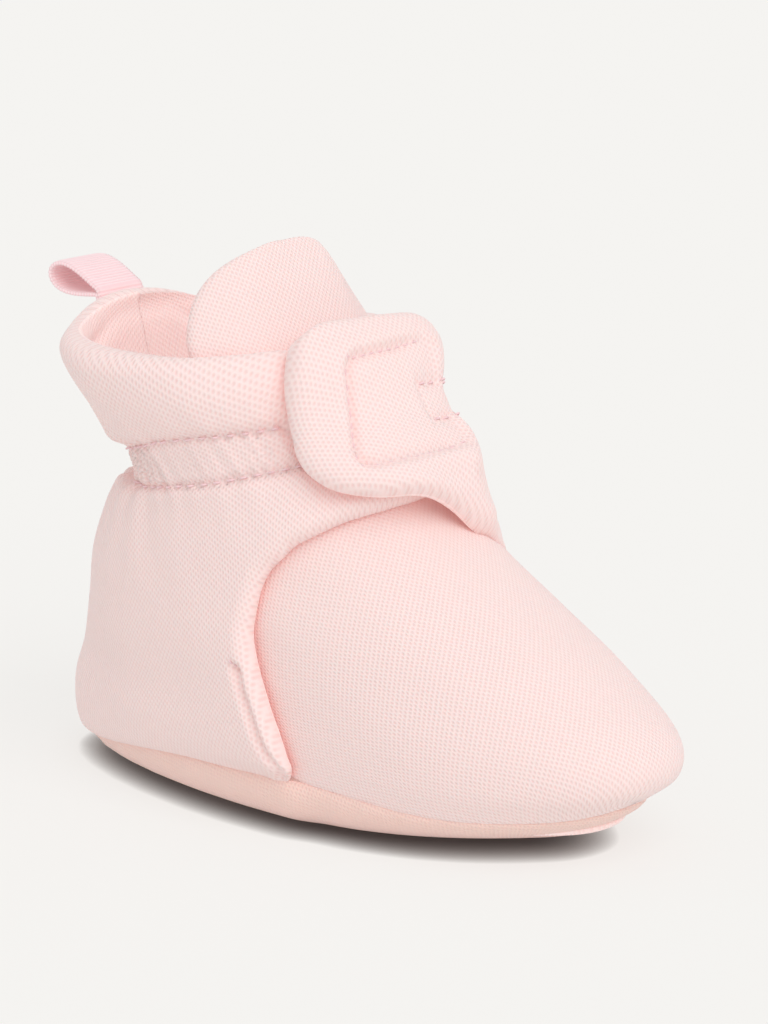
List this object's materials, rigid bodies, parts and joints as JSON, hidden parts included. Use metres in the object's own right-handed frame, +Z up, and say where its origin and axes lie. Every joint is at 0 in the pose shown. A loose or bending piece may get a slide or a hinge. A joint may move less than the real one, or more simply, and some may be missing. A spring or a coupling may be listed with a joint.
{
  "type": "baby bootie",
  "caption": "Soft padded knit baby bootie: a wrap strap closes over a side flap and tongue, elastic gathers the ankle, and a ribbon loop pulls it on.",
  "frame": {"origin": "on the ground under the middle of the sole, at the underside of the middle grip dot", "axes": "+X to the toe, +Y to the far side that the strap is sewn to (the wearer's inner side), +Z up"},
  "size_m": [0.1215, 0.0581, 0.0855],
  "materials": {
    "knit": "matte pale pink double-knit jersey",
    "lining": "matte pale pink jersey lining",
    "wadding": "white polyester wadding",
    "elastic": "white woven elastic",
    "thread": "pale pink sewing thread",
    "loop_fastener": "soft brushed loop pile",
    "hook_fastener": "moulded nylon hooks",
    "ribbon": "pink grosgrain ribbon",
    "grip_silicone": "soft milky silicone dots"
  },
  "bodies": {
    "foot": {"sole_shell": "knit", "sole_padding": "wadding", "insole": "lining", "grip_dots": "grip_silicone", "vamp_shell": "knit", "vamp_padding": "wadding", "vamp_lining": "lining", "near_quarter_shell": "knit", "near_quarter_padding": "wadding", "near_quarter_lining": "lining", "far_quarter_shell": "knit", "far_quarter_padding": "wadding", "far_quarter_lining": "lining", "ankle_elastic": "elastic", "casing_thread": "thread", "side_tack_thread": "thread"},
    "strap": {"strap_shell": "knit", "strap_padding": "wadding", "strap_lining": "lining", "strap_elastic": "elastic", "strap_casing_thread": "thread", "hook_tape": "hook_fastener", "hook_tape_thread": "thread"},
    "side_flap": {"flap_shell": "knit", "flap_padding": "wadding", "flap_lining": "lining", "flap_elastic": "elastic", "flap_casing_thread": "thread", "loop_tape": "loop_fastener", "loop_tape_thread": "thread"},
    "tongue": {"tongue_shell": "knit", "tongue_padding": "wadding", "tongue_lining": "lining"},
    "pull_loop": {"pull_loop": "ribbon"}
  },
  "joints": [
    {"name": "strap_open", "type": "hinge", "parent": "foot", "child": "strap", "pos_m": [-0.00756, 0.02737, 0.05151], "axis": [-0.5882, 0.0539, 0.8069], "range_deg": [0, 110]},
    {"name": "side_flap_open", "type": "hinge", "parent": "foot", "child": "side_flap", "pos_m": [-0.01312, -0.02783, 0.05178], "axis": [-0.5489, -0.0683, 0.8331], "range_deg": [-55, 0]},
    {"name": "tongue_tilt", "type": "hinge", "parent": "foot", "child": "tongue", "pos_m": [0.0049, 0, 0.0546], "axis": [0, 1, 0], "range_deg": [0, 40]},
    {"name": "pull_loop_swing", "type": "hinge", "parent": "foot", "child": "pull_loop", "pos_m": [-0.0536, 0, 0.0739], "axis": [0, 1, 0], "range_deg": [-25, 75]}
  ],
  "couplings": [
    {"joint": "side_flap_open", "follows": "strap_open", "ratio": -0.5},
    {"joint": "tongue_tilt", "follows": "strap_open", "ratio": 0.35}
  ]
}
